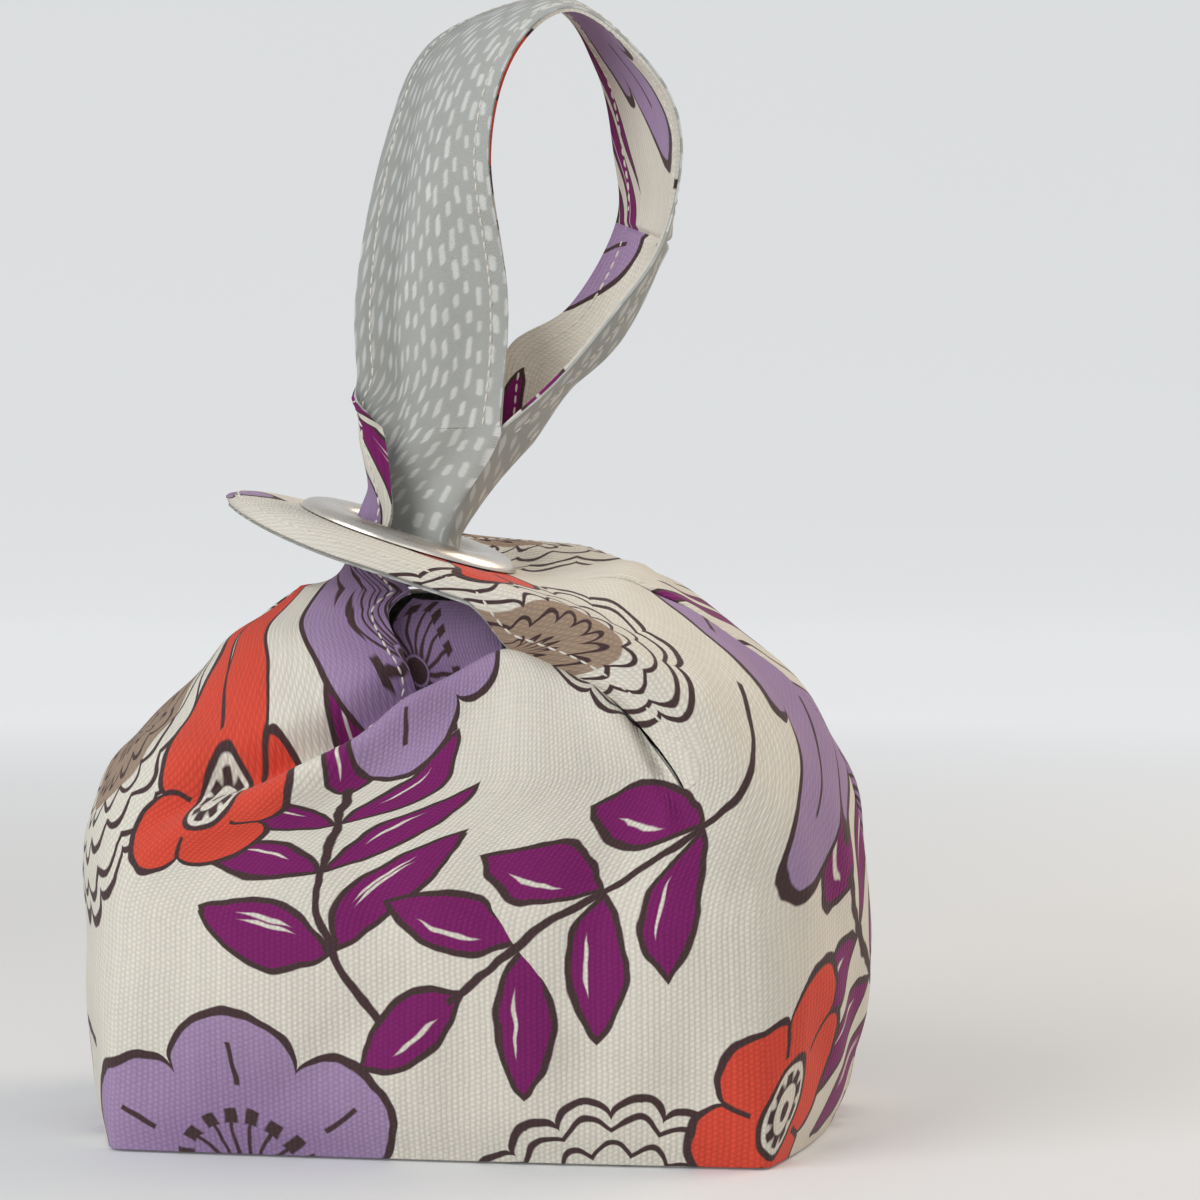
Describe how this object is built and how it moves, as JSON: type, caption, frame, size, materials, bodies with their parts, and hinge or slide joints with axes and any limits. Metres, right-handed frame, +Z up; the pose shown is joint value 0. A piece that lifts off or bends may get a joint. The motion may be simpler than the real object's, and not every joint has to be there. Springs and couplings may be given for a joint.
{
  "type": "bento bag",
  "caption": "Lined cloth lunch bag with a boxed base, closed by drawing its loop handle through a large metal grommet set in a top flap.",
  "frame": {"origin": "middle of the base, on the surface that the bag stands on", "axes": "+Z up, +X towards the side that carries the flap, -Y towards the front"},
  "size_m": [0.2199, 0.1388, 0.3188],
  "materials": {
    "print_canvas": "woven cotton canvas with a floral print",
    "lining_cotton": "gray cotton with short white dashes",
    "interfacing": "non-woven fusible",
    "grommet_metal": "satin nickel"
  },
  "bodies": {
    "bag": {"outer_front_panel": "print_canvas", "outer_back_panel": "print_canvas", "lining_front_panel": "lining_cotton", "lining_back_panel": "lining_cotton", "outer_tongue": "print_canvas", "lining_tongue": "lining_cotton"},
    "flap": {"outer_flap": "print_canvas", "lining_flap": "lining_cotton", "flap_interfacing": "interfacing", "grommet_cap": "grommet_metal", "grommet_back_ring": "grommet_metal"},
    "handle_neck": {"outer_neck": "print_canvas", "lining_neck": "lining_cotton"},
    "handle_loop": {"outer_front_strap": "print_canvas", "outer_back_strap": "print_canvas", "lining_front_strap": "lining_cotton", "lining_back_strap": "lining_cotton"}
  },
  "joints": [
    {"name": "flap_lift", "type": "hinge", "parent": "bag", "child": "flap", "pos_m": [0.048, 0, 0.153], "axis": [0, 1, 0], "range_deg": [0, 10]},
    {"name": "handle_swing", "type": "hinge", "parent": "bag", "child": "handle_neck", "pos_m": [-0.013, 0, 0.193], "axis": [0, 1, 0], "range_deg": [-40, 40], "deforming": ["outer_neck", "lining_neck"]},
    {"name": "handle_nod", "type": "hinge", "parent": "handle_neck", "child": "handle_loop", "pos_m": [-0.013, 0, 0.193], "axis": [1, 0, 0], "range_deg": [-35, 35], "deforming": ["outer_neck", "lining_neck"]}
  ]
}
